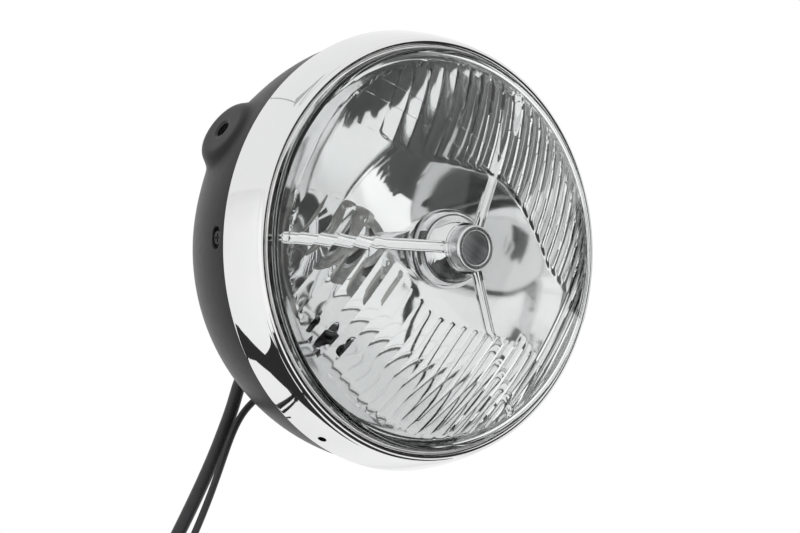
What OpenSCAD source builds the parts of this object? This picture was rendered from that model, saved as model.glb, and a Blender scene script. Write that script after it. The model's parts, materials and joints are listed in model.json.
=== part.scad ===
// Round motorcycle headlight: a bowl-shaped shell, a deep rim, and a fluted glass light unit.
// The lamp faces -Y and +Z is up. The origin lies between the two side mounts, on their axis.

/* [Light unit] */
// Radius of the glass's flange, which the rest of the lamp follows
lens_r = 89; // [70:0.5:110]
// Height of the dome's top above the rim's front
dome_height = 31.5; // [26:0.5:38]
// Thickness of the glass
glass_wall = 3.5; // [2.5:0.1:4.2]
// Distance between the flutes
flute_pitch = 6; // [4:0.5:10]
// How far the flutes stand in from the glass
flute_height = 0.6; // [0.3:0.1:1]
// Width of the flange that the reflector shares with the glass
unit_flange_w = 9; // [8:0.5:12]
// Thickness of the reflector's sheet
reflector_wall = 1; // [0.7:0.1:1.4]

/* [Rim] */
// How far the rim's lip covers the glass's flange
lip_cover = 2; // [1.5:0.1:3]
// Radius of the rolled lip's bead
lip_bead_r = 1.95; // [1.8:0.05:2.4]
// How far the rim swells from its lip to its rear edge
rim_swell = 4.94; // [4.5:0.02:8]
// Depth of the rim from front to rear
rim_depth = 19.5; // [18:0.5:24]
// Thickness of the rim's sheet
rim_wall = 0.9; // [0.6:0.1:1.1]
// Radius of the small hole at the bottom of the rim
rim_hole_r = 1.9; // [1:0.1:2.6]

/* [Shell] */
// How far the shell stands in from the rim's rear edge
shell_step = 1.74; // [1.6:0.02:3]
// Room behind the reflector for the bulb and its socket
rear_room = 40.2; // [33:0.2:60]
// Thickness of the shell's sheet
shell_wall = 1.4; // [0.8:0.1:2]
// How full the bowl's curve is: 2 is an ellipse
shell_fullness = 2.11; // [1.9:0.01:2.5]
// How far the shell's front collar reaches into the rim
collar_reach = 4; // [2:0.5:4.5]

/* [Side mounts] */
// Distance from the rim's front to the mounts' axis
mount_setback = 45.5; // [42:0.5:52]
// How far each boss stands out from the bowl
boss_stand = 3.26; // [2:0.02:8]
// Radius of each boss's flat face
boss_face_r = 11.5; // [9.5:0.5:14]
// Radius of the inserts' thread, at its crests
insert_bore_r = 3.4; // [2.5:0.1:4.2]
// Wall of the inserts' barrel around the thread
insert_wall = 1.6; // [1:0.1:3]
// Length of the inserts behind their flange
insert_len = 14; // [8:1:20]

/* [Middle of the light unit] */
// Radius of the bulb shield
shield_r = 17; // [14.5:0.5:20]
// Radius of the medallion's bezel
bezel_r = 9.75; // [8:0.25:12]
// Width of the bezel around the medallion's disc
bezel_w = 2.75; // [1.6:0.05:3.5]
// How far the medallion's face lies below the top of the dome
medallion_drop = 6.9; // [4.6:0.1:8]
// Width of the tri-bar's legs at their feet
leg_w = 5.8; // [4.6:0.2:8]
// Thickness of the tri-bar's metal
leg_t = 0.8; // [0.5:0.1:1]

/* [Cords] */
// Diameter of the main cord
main_cord_d = 6.2; // [5:0.1:7]
// Diameter of the pilot lamp's cord
pilot_cord_d = 3.2; // [2.4:0.1:3.6]

/* [Hidden] */
$fn = 96;

// Smallest gap between parts that are fitted together
fit = 0.1;
// Overlap that joins two shapes of one piece, or makes a cut run through
eps = 0.5;

// Rim
rim_opening_r = lens_r - lip_cover;
lip_out_r = rim_opening_r + 2 * lip_bead_r;
rim_rear_r = lip_out_r + rim_swell;
rim_bulge = 1.25;
rim_hem = 2 * rim_wall;
rim_hem_len = 1.2;
lip_hem = 0.65;
lip_hem_s = -lip_bead_r - lip_hem;
rim_hole_s = -rim_depth * 2 / 3;
rim_notch_angle = 260;
rim_notch_w = 1;
rim_notch_len = 3.2;

// Light unit, front to back
gasket_t = 0.8;
gasket_w = 2.4;
flange_front_s = lip_hem_s - gasket_t;
lens_flange_t = 5;
lens_back_s = flange_front_s - lens_flange_t;
skirt_gap = 0.7;
skirt_r = rim_opening_r - skirt_gap;
skirt_round = 2;
dome_edge_s = 4;
lens_inner_r = skirt_r - glass_wall;
clip_ring_t = 1;
clip_ring_w = 6;
unit_back_s = lens_back_s - reflector_wall;
ring_back_s = unit_back_s - clip_ring_t;
reflector_r = lens_r - unit_flange_w;

// Glass dome: a sphere through the shoulder and the top
shoulder_r = skirt_r - skirt_round;
dome_r = (pow(shoulder_r, 2) + pow(dome_height - dome_edge_s, 2)) / (2 * (dome_height - dome_edge_s));
dome_centre_s = dome_height - dome_r;
dome_in_r = dome_r - glass_wall;

// Flutes: low and high edge of each row, as shares of the reflector's radius, and the clear middle's outline
flute_rows = [[0.79, 1], [0.52, 0.79], [0.39, 0.52], [0.21, 0.39], [-0.2, 0.21], [-0.53, -0.2],
              [-0.78, -0.53], [-1, -0.78]];
flute_edge_r = reflector_r - 1;
flute_share = 0.55;
row_gap = 0.5;
clear_zone = [[0, 0.41], [0.3, 0.31], [0.55, 0.21], [0.76, 0.21], [0.76, -0.2], [0.55, -0.25],
              [0.3, -0.34], [0, -0.43], [-0.3, -0.34], [-0.55, -0.25], [-0.8, -0.2], [-0.8, 0.21],
              [-0.55, 0.21], [-0.3, 0.31]];

// Reflector: a paraboloid from its opening to its neck
focal_len = 0.3625 * reflector_r;
vertex_s = lens_back_s - pow(reflector_r, 2) / (4 * focal_len);
neck_in_r = 19;
neck_out_r = neck_in_r + 1.2;
neck_back_s = vertex_s - 3.4;
neck_lip_r = 24;
neck_lip_t = 1;

// Bowl of the shell, from its front edge to its deepest point
shell_r = rim_rear_r - shell_step;
shell_s = -rim_depth - 0.7;
shell_depth = shell_s - neck_back_s + rear_room;

// Bulb
bulb_flange_r = neck_lip_r - 2.6;
bulb_flange_t = 1.2;
bulb_glass_r = 8.4;
bulb_sleeve_r = 11;
bulb_block_r = 17;
bulb_block_share = 0.21;
bulb_block_len = bulb_block_share * rear_room;
bulb_reach = 58;
bulb_tip_s = neck_back_s + bulb_reach;
bulb_sleeve_s = neck_back_s + 9;
flange_back_s = neck_back_s - bulb_flange_t;
block_back_s = flange_back_s - bulb_block_len;
rear_in_s = shell_s - shell_depth + shell_wall;
socket_room = block_back_s - rear_in_s;
socket_gap = 1;
blade_w = 8;
blade_t = 0.8;
blade_places = [[0, 8, 0], [-8.5, -3, 90], [8.5, -3, 90]];
retainer_t = 1.1;
retainer_wall = 1.2;
retainer_out_r = neck_lip_r + retainer_wall;
boot_wall = 1.8;
boot_in_r = retainer_out_r + 0.2;
socket_w = 30;
socket_h = 26;
socket_len = 0.48 * socket_room;
blade_len = socket_gap + 0.78 * socket_len;
socket_front_s = block_back_s - socket_gap;
socket_back_s = socket_front_s - socket_len;
lead_d = 3;
lead_places = [[0, 7], [-8, -3], [8, -3]];
lead_bundle = [[0, 1.6], [-1.4, -0.8], [1.4, -0.8]];
lead_loop = 0.28 * socket_room;

// Bulb shield, tri-bar and medallion
medallion_height = dome_height - medallion_drop;
disc_r = bezel_r - bezel_w - fit;
disc_t = 1;
disc_sunk = 0.5;
bezel_len = 6;
bezel_front_s = medallion_height + disc_sunk;
bezel_back_s = bezel_front_s - bezel_len;
hub_t = 0.8;
hub_r = bezel_r + 1.2;
hub_back_s = bezel_back_s - hub_t;
shield_face_r = hub_r - 0.4;
shield_wall = 0.8;
shield_centre_s = hub_back_s - sqrt(pow(shield_r, 2) - pow(shield_face_r, 2));
shield_mouth = 41;
leg_angles = [90, 210, 330];
leg_wall_h = 1.4;
foot_gap = 0.4;
foot_r = reflector_r + foot_gap;
foot_drop = 1.8;
leg_drop = hub_back_s + hub_t - (dome_centre_s + sqrt(pow(dome_in_r, 2) - pow(foot_r, 2))) + foot_drop;
leg_sunk = 0.1;

// Pilot lamp in the reflector's lower side
pilot_r = 0.5625 * reflector_r;
pilot_hole_r = 6.5;
pilot_s = vertex_s + pow(pilot_r, 2) / (4 * focal_len);
pilot_tilt = atan(pilot_r / (2 * focal_len));
pilot_bulb_r = 4.5;
pilot_bulb_len = 14;

// Rim's tabs and the two oval screw recesses of the shell
screw_angles = [210, 330];
screw_s = shell_s - 7.8;
recess_len = 9;
recess_w = 6;
recess_floor = 1.2;
recess_depth = 2.4;
screw_r = 1.95;
screw_head_r = 2.75;
screw_head_h = 1.6;
tab_t = 1.2;
tab_angle = 8;
tab_reach_s = screw_s - 6;

// Side bosses, collar and recess floors
boss_x = bowl_r(-mount_setback, 0) + boss_stand;
insert_barrel_r = insert_bore_r + insert_wall;
insert_flange = 1;
insert_flange_t = 0.6;
collar_step = 0.8;
collar_r = shell_r - collar_step;
collar_front_s = shell_s - 0.2 + collar_reach;
screw_shell_r = bowl_r(screw_s, 0);
floor_out_r = screw_shell_r - recess_depth;
floor_in_r = floor_out_r - recess_floor;
tab_out_r = floor_in_r - fit;

// Cord exits on the shell: side offset and distance behind the rim's front, and the grommets' sizes
main_exit = [-0.5, shell_s - 0.808 * shell_depth];
lead_exit = [9, shell_s - 0.745 * shell_depth];
main_grommet_wall = 2.4;
lead_grommet_wall = 1.9;
main_grommet_r = main_cord_d / 2 + fit + main_grommet_wall;
lead_grommet_r = pilot_cord_d / 2 + fit + lead_grommet_wall;
grommet_lip = 1.4;
grommet_proud = 4;
lead_grommet_proud = 3;

// Routes of the two cords, each measured from the mouth of its grommet
main_route = [[0, 0, 0], [0, 0.9, -0.6], [0.1, 2.1, -1.8], [0.6, 3.8, -4.2], [1.4, 5, -7.2],
              [2.3, 5.6, -10.8], [3.2, 5.5, -15], [3.9, 4.8, -20], [4.4, 3.8, -26], [4.7, 2.6, -33],
              [5, 1.1, -42], [5.2, -0.5, -54], [5.3, -1.8, -68], [5.4, -2.6, -84], [5.4, -3, -102],
              [5.4, -3.1, -122], [5.4, -3.1, -144], [5.4, -3.1, -168], [5.4, -3.1, -193], [5.4, -3.1, -218]];
pilot_route = [[0, 0, 0], [0.1, 0.9, -0.8], [0.1, 2.1, -2], [-0.3, 3.8, -4.8], [-1.2, 5, -8.6],
               [-2.4, 5.4, -13.4], [-3.3, 5, -18.8], [-3.7, 4.1, -24.6], [-3.7, 2.9, -31], [-3.3, 1.5, -38.6],
               [-2.6, 0, -48], [-1.6, -1.3, -60], [-0.6, -2.2, -74.5], [0.1, -2.8, -91], [0.6, -3.2, -109],
               [0.8, -3.4, -129], [0.8, -3.4, -150], [0.8, -3.4, -171]];
main_cord_sides = 12;
pilot_cord_sides = 8;
main_plug = [22, 15, 30];
pilot_plug_r = 3.4;
pilot_plug_len = 24;

function arc(c, r, a0, a1, n) = [for (i = [0:n]) let(a = a0 + (a1 - a0) * i / n) c + r * [cos(a), sin(a)]];
function reversed(v) = [for (i = [len(v) - 1:-1:0]) v[i]];
// Outer radius of the rim at a distance behind its front
function rim_r(s) = let(u = min(max((-lip_bead_r - s) / (rim_depth - lip_bead_r), 0), 1))
    lip_out_r + (rim_rear_r - lip_out_r) * pow(1 - pow(1 - u, rim_bulge), 1 / rim_bulge);
// Radius of the bowl at a distance behind the rim's front, t inside its outer face
function bowl_r(s, t) = let(v = min(max((shell_s - s) / (shell_depth - t), 0), 1))
    (shell_r - t) * pow(1 - pow(v, shell_fullness), 1 / shell_fullness);
function bowl_points(t, n) = [for (i = [0:n]) let(a = 90 * i / n, p = 2 / shell_fullness)
    [(shell_r - t) * pow(cos(a), p), shell_s - (shell_depth - t) * pow(sin(a), p)]];
// Slope of the bowl's outward normal, from straight back towards the side
function bowl_tilt(s) = let(q = shell_fullness, v = (shell_s - s) / shell_depth, w = bowl_r(s, 0) / shell_r)
    atan2(pow(w, q - 1) / shell_r, pow(v, q - 1) / shell_depth);
function dish_s(r) = vertex_s + r * r / (4 * focal_len);
function dish_back(r) = let(k = r / (2 * focal_len), h = sqrt(1 + k * k))
    [r + reflector_wall * k / h, dish_s(r) - reflector_wall / h];
function leg_s(r) = hub_back_s + hub_t - leg_sunk - leg_drop * (r - hub_r) / (foot_r - hub_r);
// The place of a cord's exit, some way out along the shell's outward normal
function exit_place(e, out) = let(r = bowl_r(e[1], 0), c = sqrt(1 - pow(e[0] / r, 2)), k = bowl_tilt(e[1]))
    [e[0], -e[1] - mount_setback, -r * c] + out * [sin(k) * e[0] / r, cos(k), -sin(k) * c];
function placed(route, start) = [for (p = route) start + p];
function main_path() = placed(main_route, exit_place(main_exit, grommet_proud));
function pilot_path() = placed(pilot_route, exit_place(lead_exit, lead_grommet_proud));
function unit(v) = v / norm(v);
// Smooth curve through a route's points
function between(p0, p1, p2, p3, t) = 0.5 * (2 * p1 + (p2 - p0) * t
    + (2 * p0 - 5 * p1 + 4 * p2 - p3) * t * t + (3 * p1 - p0 - 3 * p2 + p3) * t * t * t);
function smooth(path, k) = let(n = len(path)) [for (i = [0:n - 2], j = [0:k - 1])
    between(path[max(i - 1, 0)], path[i], path[i + 1], path[min(i + 2, n - 1)], j / k), path[n - 1]];
function tangent(path, i) = unit(path[min(i + 1, len(path) - 1)] - path[max(i - 1, 0)]);

// Turns a shape that is drawn along +Z, with its zero at the rim's front, to face forward
module forward() {
    rotate([90, 0, 0]) translate([0, 0, mount_setback]) children();
}

module turned(points) {
    forward() rotate_extrude() polygon(points);
}

module stadium(length, width) {
    square([length - width, width], center = true);
    for (side = [-1, 1]) translate([side * (length - width) / 2, 0]) circle(d = width, $fn = 40);
}

// A round cord along a smooth route
module cord(route, d, sides) {
    path = smooth(route, 2);
    n = len(path);
    rings = [for (i = [0:n - 1]) let(t = tangent(path, i), a = unit(cross(t, [1, 0, 0])), b = cross(t, a))
        for (k = [0:sides - 1]) path[i] + d / 2 * (cos(360 * k / sides) * a + sin(360 * k / sides) * b)];
    walls = [for (i = [0:n - 2], k = [0:sides - 1])
        [i * sides + k, i * sides + (k + 1) % sides, (i + 1) * sides + (k + 1) % sides, (i + 1) * sides + k]];
    ends = [[for (k = [sides - 1:-1:0]) k], [for (k = [0:sides - 1]) (n - 1) * sides + k]];
    polyhedron(rings, concat(ends, walls), convexity = 6);
}

// Places a shape on the bowl's outer face, with +Z along the face's outward normal
module on_bowl(exit) {
    r = bowl_r(exit[1], 0);
    turn = asin(exit[0] / r);
    forward() rotate([0, 0, -90 + turn]) translate([r, 0, exit[1]])
        rotate([0, 180 - bowl_tilt(exit[1]), 0]) children();
}

// A boss that swells out of the shell's side, drawn around its own axis
module boss_body(t, side) {
    f = boss_face_r;
    rotate([0, side * 90, 0]) rotate_extrude() polygon([[0, boss_x - t], [f - t / 2, boss_x - t],
        [f + 1.7 - t, boss_x - 0.4 - t], [f + 3.1 - t, boss_x - 1.4 - t], [f + 4.1 - t, boss_x - 3 - t],
        [f + 5 - t, boss_x - 5.5 - t], [f + 6.5 - t, boss_x - 9 - t], [f + 9 - t, boss_x - 13.5 - t],
        [f + 12.5 - t, boss_x - 18.5 - t], [f + 12.5 - t, boss_x - 29 - t], [0, boss_x - 29 - t]]);
}

module bowl(t) {
    turned(concat(bowl_points(t, 28), [[0, shell_s]]));
}

module shell() {
    collar_in_r = collar_r - shell_wall;
    color([0.09, 0.09, 0.095]) difference() {
        union() {
            difference() {
                union() {
                    bowl(0);
                    turned([[0, shell_s], [collar_r, shell_s], [collar_r, collar_front_s],
                        [0, collar_front_s]]);
                    for (side = [-1, 1]) boss_body(0, side);
                }
                bowl(shell_wall);
                turned([[0, shell_s - shell_wall], [collar_in_r, shell_s - shell_wall],
                    [collar_in_r, collar_front_s + eps], [0, collar_front_s + eps]]);
                for (side = [-1, 1]) boss_body(shell_wall, side);
            }
            for (a = screw_angles) forward() rotate([0, 0, a]) translate([floor_in_r, 0, screw_s])
                rotate([90, 0, 90]) linear_extrude(screw_shell_r - floor_in_r - shell_wall / 2)
                    stadium(recess_len + 2 * recess_floor, recess_w + 2 * recess_floor);
        }
        for (side = [-1, 1]) rotate([0, side * 90, 0])
            cylinder(r = insert_barrel_r + fit / 2, h = boss_x + eps);
        for (a = screw_angles) forward() rotate([0, 0, a]) {
            translate([floor_out_r, 0, screw_s]) rotate([90, 0, 90]) linear_extrude(recess_depth + 3)
                stadium(recess_len, recess_w);
            translate([floor_in_r - eps, 0, screw_s]) rotate([0, 90, 0])
                cylinder(r = screw_r + 0.2, h = recess_floor + 2 * eps);
        }
        on_bowl(main_exit) translate([0, 0, -8]) cylinder(r = main_grommet_r, h = 12);
        on_bowl(lead_exit) translate([0, 0, -8]) cylinder(r = lead_grommet_r, h = 12);
    }
}

// A flanged insert with a thread that runs through it
module mount_insert(side) {
    rotate([0, side * 90, 0]) color([0.2, 0.2, 0.21]) translate([0, 0, boss_x]) difference() {
        union() {
            cylinder(r = insert_barrel_r + insert_flange, h = insert_flange_t);
            translate([0, 0, -insert_len]) cylinder(r = insert_barrel_r, h = insert_len);
        }
        translate([0, 0, -insert_len - eps])
            cylinder(r = insert_bore_r, h = insert_len + insert_flange_t + 2 * eps);
        translate([0, 0, -0.2]) cylinder(r1 = insert_bore_r, r2 = insert_bore_r + 0.8, h = 0.81);
    }
}

module left_mount_insert() {
    mount_insert(-1);
}

module right_mount_insert() {
    mount_insert(1);
}

module rim() {
    bead = [rim_opening_r + lip_bead_r, -lip_bead_r];
    side_steps = 14;
    rear_r = rim_rear_r - rim_hem;
    side_s = [for (i = [1:side_steps]) -lip_bead_r - (rim_depth - lip_bead_r) * i / side_steps];
    outer = concat([[rim_opening_r, lip_hem_s]], arc(bead, lip_bead_r, 180, 0, 14),
        [for (s = side_s) [rim_r(s), s]]);
    hem = [[rear_r, -rim_depth], [rear_r, -rim_depth + rim_hem_len]];
    hem_top = -rim_depth + rim_hem_len;
    inner = concat([for (s = reversed(side_s)) if (s > hem_top) [rim_r(s) - rim_wall, s]],
        arc(bead, lip_bead_r - rim_wall, 0, 180, 10), [[rim_opening_r + rim_wall, lip_hem_s]]);
    color([0.86, 0.87, 0.88]) difference() {
        turned(concat(outer, hem, [[rim_r(hem_top) - rim_wall, hem_top]], inner));
        forward() rotate([0, 0, 270]) translate([rim_rear_r - 10, 0, rim_hole_s]) rotate([0, 90, 0])
            cylinder(r = rim_hole_r, h = 20);
        forward() rotate([0, 0, rim_notch_angle])
            translate([rim_rear_r - 10, -rim_notch_w / 2, -rim_depth - eps])
                cube([20, rim_notch_w, rim_notch_len + eps]);
    }
}

// A steel tab on the rim's inner wall that reaches back inside the shell
module rim_bracket(angle, out_r, reach_s) {
    top_s = ring_back_s + 0.2;
    turn_s = collar_front_s + (ring_back_s - collar_front_s) / 3;
    mid_s = (top_s + turn_s) / 2;
    rotate([0, 0, angle - tab_angle / 2]) rotate_extrude(angle = tab_angle) polygon([
        [rim_r(top_s) - rim_wall - fit, top_s], [rim_r(mid_s) - rim_wall - fit, mid_s],
        [rim_r(turn_s) - rim_wall - fit, turn_s], [out_r, turn_s], [out_r, reach_s], [out_r - tab_t, reach_s],
        [out_r - tab_t, turn_s + tab_t], [rim_r(top_s) - rim_wall - fit - tab_t, turn_s + tab_t],
        [rim_r(top_s) - rim_wall - fit - tab_t, top_s]]);
}

module tapped_tab(angle) {
    color([0.55, 0.55, 0.57]) forward() difference() {
        rim_bracket(angle, tab_out_r, tab_reach_s);
        rotate([0, 0, angle]) translate([tab_out_r - tab_t - eps, 0, screw_s]) rotate([0, 90, 0])
            cylinder(r = screw_r + fit / 2, h = tab_t + 2 * eps);
    }
}

module left_rim_tab() {
    tapped_tab(screw_angles[0]);
}

module right_rim_tab() {
    tapped_tab(screw_angles[1]);
}

module top_rim_hook() {
    color([0.55, 0.55, 0.57]) forward() rim_bracket(90, collar_r - shell_wall - 3 * fit, shell_s - 4);
}

module rim_screws() {
    color([0.16, 0.16, 0.17]) forward() for (a = screw_angles) rotate([0, 0, a])
        translate([floor_out_r, 0, screw_s]) rotate([0, 90, 0]) difference() {
            union() {
                cylinder(r = screw_head_r, h = screw_head_h);
                translate([0, 0, -7]) cylinder(r = screw_r, h = 7 + eps);
            }
            for (turn = [0, 90]) rotate([0, 0, turn])
                translate([-1.8, -0.4, screw_head_h - 0.9]) cube([3.6, 0.8, 1]);
        }
}

// Raised bars on the inside of the dome, in rows
module flutes() {
    radii = [for (i = [0:16]) flute_edge_r * i / 16];
    intersection() {
        rotate_extrude() polygon(concat(
            [for (r = radii) [r, dome_centre_s + sqrt(pow(dome_in_r + 0.3, 2) - r * r)]],
            [for (r = reversed(radii)) [r, dome_centre_s + sqrt(pow(dome_in_r - flute_height, 2) - r * r)]]));
        difference() {
            union() for (row = flute_rows) {
                low = row[0] * reflector_r;
                high = row[1] * reflector_r;
                reach = sqrt(pow(flute_edge_r, 2) - pow(min(abs(low), abs(high)), 2));
                count = floor(reach / flute_pitch);
                for (i = [-count:count - 1])
                    translate([flute_pitch * (i + (1 - flute_share) / 2), low + row_gap, -5])
                        cube([flute_pitch * flute_share, high - low - 2 * row_gap, dome_height + 10]);
            }
            translate([0, 0, -6]) linear_extrude(dome_height + 12) polygon(reflector_r * clear_zone);
        }
    }
}

module lens() {
    steps = 24;
    radii = [for (i = [0:steps]) shoulder_r * i / steps];
    outer = concat([for (r = radii) [r, dome_centre_s + sqrt(dome_r * dome_r - r * r)]],
        arc([skirt_r - skirt_round, dome_edge_s - skirt_round], skirt_round, 70, 0, 5),
        [[skirt_r, flange_front_s], [lens_r, flange_front_s], [lens_r, lens_back_s],
        [lens_inner_r, lens_back_s]]);
    inner = [for (i = [steps:-1:0]) let(r = lens_inner_r * i / steps)
        [r, dome_centre_s + sqrt(dome_in_r * dome_in_r - r * r)]];
    color([0.8, 0.86, 0.88, 0.45]) forward() union() {
        rotate_extrude() polygon(concat(outer, inner));
        flutes();
    }
}

module lens_gasket() {
    in_r = rim_opening_r + 2 * fit;
    color([0.78, 0.78, 0.77]) turned([[in_r, lip_hem_s], [in_r + gasket_w, lip_hem_s],
        [in_r + gasket_w, flange_front_s], [in_r, flange_front_s]]);
}

module clip_ring() {
    color([0.6, 0.6, 0.62]) turned([[lens_r - clip_ring_w, unit_back_s], [lens_r, unit_back_s],
        [lens_r, ring_back_s], [lens_r - clip_ring_w, ring_back_s]]);
}

// Flat springs between the rim's wall and the clamping ring
module spring_clips() {
    clip_t = 0.7;
    far_s = ring_back_s - 2.6;
    near_s = ring_back_s - 0.8;
    color([0.7, 0.68, 0.6]) forward() for (k = [0:5]) rotate([0, 0, 60 * k + 57])
        rotate_extrude(angle = 6) polygon([[rim_r(far_s) - rim_wall - 2 * fit, far_s],
        [rim_r(near_s) - rim_wall - 2 * fit, near_s],
        [lens_r + 2.4, ring_back_s - fit], [lens_r - 2.5, ring_back_s], [lens_r - 2.5, ring_back_s - clip_t],
        [lens_r + 2.2, ring_back_s - clip_t - fit], [lens_r + 3.2, near_s - clip_t],
        [rim_r(far_s) - rim_wall - clip_t - 2 * fit, far_s]]);
}

module reflector() {
    steps = 20;
    fall = reflector_r - neck_out_r;
    inner = [for (i = [0:steps]) let(r = reflector_r - fall * i / steps) [r, dish_s(r)]];
    back = [for (i = [steps - 1:-1:1]) dish_back(reflector_r - (fall - 0.5) * i / steps)];
    color([0.83, 0.84, 0.85]) forward() difference() {
        rotate_extrude() polygon(concat([[lens_r, lens_back_s]], inner,
            [[neck_in_r, dish_s(neck_out_r) - 0.2], [neck_in_r, neck_back_s], [neck_lip_r, neck_back_s],
            [neck_lip_r, neck_back_s + neck_lip_t],
            [neck_out_r, neck_back_s + neck_lip_t], [neck_out_r, dish_back(neck_out_r)[1] - 0.2]], back,
            [[reflector_r + reflector_wall, unit_back_s], [lens_r, unit_back_s]]));
        at_pilot() translate([0, 0, -6]) cylinder(r = pilot_hole_r, h = 10);
    }
}

// Places a shape at the pilot lamp's hole, with +Z into the reflector
module at_pilot() {
    rotate([0, 0, 270]) translate([pilot_r, 0, pilot_s]) rotate([0, -pilot_tilt, 0]) children();
}

// One leg of the tri-bar: a straight channel with a foot on the reflector's flange
module leg() {
    start_r = hub_r - 0.15;
    end_r = foot_r + leg_t;
    low = [[start_r, leg_s(start_r)], [end_r, leg_s(end_r)], [end_r, lens_back_s + fit],
        [foot_r, lens_back_s + fit], [foot_r, leg_s(foot_r) - leg_t], [start_r, leg_s(start_r) - leg_t]];
    wall_r = hub_r + 3;
    rise = leg_wall_h - leg_t;
    high = [[wall_r, leg_s(wall_r) + rise], [end_r, leg_s(end_r) + rise],
        [end_r, leg_s(end_r) - leg_t / 2], [wall_r, leg_s(wall_r) - leg_t / 2]];
    rotate([90, 0, 0]) linear_extrude(leg_w, center = true) polygon(low);
    for (side = [-1, 1]) translate([0, side * (leg_w - leg_t) / 2, 0]) rotate([90, 0, 0])
        linear_extrude(leg_t, center = true) polygon(high);
}

module tri_bar() {
    color([0.85, 0.86, 0.87]) forward() {
        translate([0, 0, hub_back_s]) cylinder(r = hub_r, h = hub_t);
        for (a = leg_angles) rotate([0, 0, a]) leg();
    }
}

module bulb_shield() {
    face = asin(shield_face_r / shield_r);
    outer = arc([0, shield_centre_s], shield_r, 90 - face, -shield_mouth, 16);
    in_r = shield_r - shield_wall;
    inner = arc([0, shield_centre_s], in_r, -shield_mouth, 90 - face, 16);
    color([0.85, 0.86, 0.87])
        turned(concat([[0, hub_back_s]], outer, inner, [[0, hub_back_s - shield_wall]]));
}

module medallion_bezel() {
    pocket_r = disc_r + fit;
    color([0.85, 0.86, 0.87]) turned([[0, bezel_back_s], [bezel_r, bezel_back_s],
        [bezel_r, bezel_front_s - 1.2], [bezel_r - 0.35, bezel_front_s - 0.35],
        [bezel_r - 1.2, bezel_front_s],
        [pocket_r + 0.4, bezel_front_s], [pocket_r, bezel_front_s - 0.4],
        [pocket_r, medallion_height - disc_t], [0, medallion_height - disc_t]]);
}

module medallion_disc() {
    color([0.3, 0.31, 0.31]) turned([[0, medallion_height - disc_t], [disc_r, medallion_height - disc_t],
        [disc_r, medallion_height - 0.2], [disc_r - 0.3, medallion_height], [0, medallion_height]]);
}

module bulb_glass() {
    tip = bulb_glass_r;
    color([0.85, 0.9, 0.95, 0.4]) turned(concat([[0, bulb_sleeve_s], [bulb_glass_r, bulb_sleeve_s]],
        arc([0, bulb_tip_s - tip], tip, 0, 90, 8)));
}

module bulb_cap() {
    color([0.75, 0.75, 0.76]) turned([[0, block_back_s], [bulb_block_r, block_back_s],
        [bulb_block_r, flange_back_s], [bulb_flange_r, flange_back_s], [bulb_flange_r, neck_back_s],
        [bulb_sleeve_r + 3, neck_back_s], [bulb_sleeve_r + 3, neck_back_s + 3],
        [bulb_sleeve_r, neck_back_s + 3], [bulb_sleeve_r, bulb_sleeve_s], [0, bulb_sleeve_s]]);
}

module bulb_terminals() {
    color([0.8, 0.78, 0.7]) forward() for (p = blade_places) translate([p[0], p[1], block_back_s - blade_len])
        rotate([0, 0, p[2]]) translate([-blade_w / 2, -blade_t / 2, 0]) cube([blade_w, blade_t, blade_len]);
}

module bulb_retainer() {
    back_s = flange_back_s - retainer_t;
    color([0.7, 0.7, 0.71]) turned([[bulb_block_r + 0.4, flange_back_s], [neck_lip_r + 0.2, flange_back_s],
        [neck_lip_r + 0.2, neck_back_s + 1.6], [retainer_out_r, neck_back_s + 1.6], [retainer_out_r, back_s],
        [bulb_block_r + 0.4, back_s]]);
}

module bulb_boot() {
    r = boot_in_r;
    w = boot_wall;
    mouth_s = vertex_s + 3;
    lip_s = block_back_s + 1;
    color([0.1, 0.1, 0.1]) turned([[r, mouth_s], [r + w, mouth_s], [r + w, lip_s + 5], [r, lip_s + 2.6],
        [bulb_block_r + 2.4, lip_s], [bulb_block_r + fit, lip_s], [bulb_block_r + fit, lip_s + 1.6],
        [bulb_block_r + 2, lip_s + 1.6], [r - 1.6, lip_s + 4], [r, lip_s + 5.8]]);
}

module bulb_connector() {
    color([0.14, 0.14, 0.15]) forward() difference() {
        translate([-socket_w / 2, -socket_h / 2 + 2, socket_back_s]) cube([socket_w, socket_h, socket_len]);
        for (p = blade_places) translate([p[0], p[1], socket_back_s + 2]) rotate([0, 0, p[2]])
            translate([-blade_w / 2 - fit, -blade_t / 2 - fit, 0])
                cube([blade_w + 2 * fit, blade_t + 2 * fit, socket_len]);
        for (p = lead_places) translate([p[0], p[1], socket_back_s - eps])
            cylinder(r = lead_d / 2 + fit, h = 2 + eps);
    }
}

// Three leads that drop from the socket to the main cord's end
module connector_leads() {
    y = -socket_back_s - mount_setback;
    end = exit_place(main_exit, -6.5);
    drop = end[2] - lead_places[1][1];
    color([0.55, 0.12, 0.1]) for (i = [0:2]) {
        p = lead_places[i];
        q = lead_bundle[i];
        cord([[p[0], y - 1.9, p[1]], [p[0], y + lead_loop * 0.25, p[1]],
            [p[0], y + lead_loop * 0.7, p[1] - 2.5],
            [p[0] * 0.95, y + lead_loop, p[1] - 8], [p[0] * 0.8, y + lead_loop * 0.8 + q[1], drop * 0.28],
            [p[0] * 0.5 + end[0] * 0.6, y + q[1], drop * 0.56 - q[1] * 0.3],
            [q[0] * 1.1 + end[0], (2 * y + end[1]) / 3 + q[1], drop * 0.8 - q[1] * 0.6],
            [q[0] + end[0], end[1] + q[1] * 0.75, end[2] - q[1] * 0.7]], lead_d - 0.4, 8);
    }
}

module pilot_holder() {
    color([0.1, 0.1, 0.1]) forward() at_pilot() difference() {
        union() {
            translate([0, 0, -12]) cylinder(r = pilot_hole_r + 2, h = 12 - reflector_wall - 0.6);
            translate([0, 0, -4]) cylinder(r = pilot_hole_r - fit, h = 4.6);
        }
        translate([0, 0, -6]) cylinder(r = pilot_bulb_r - 0.6, h = 8);
    }
}

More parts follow.
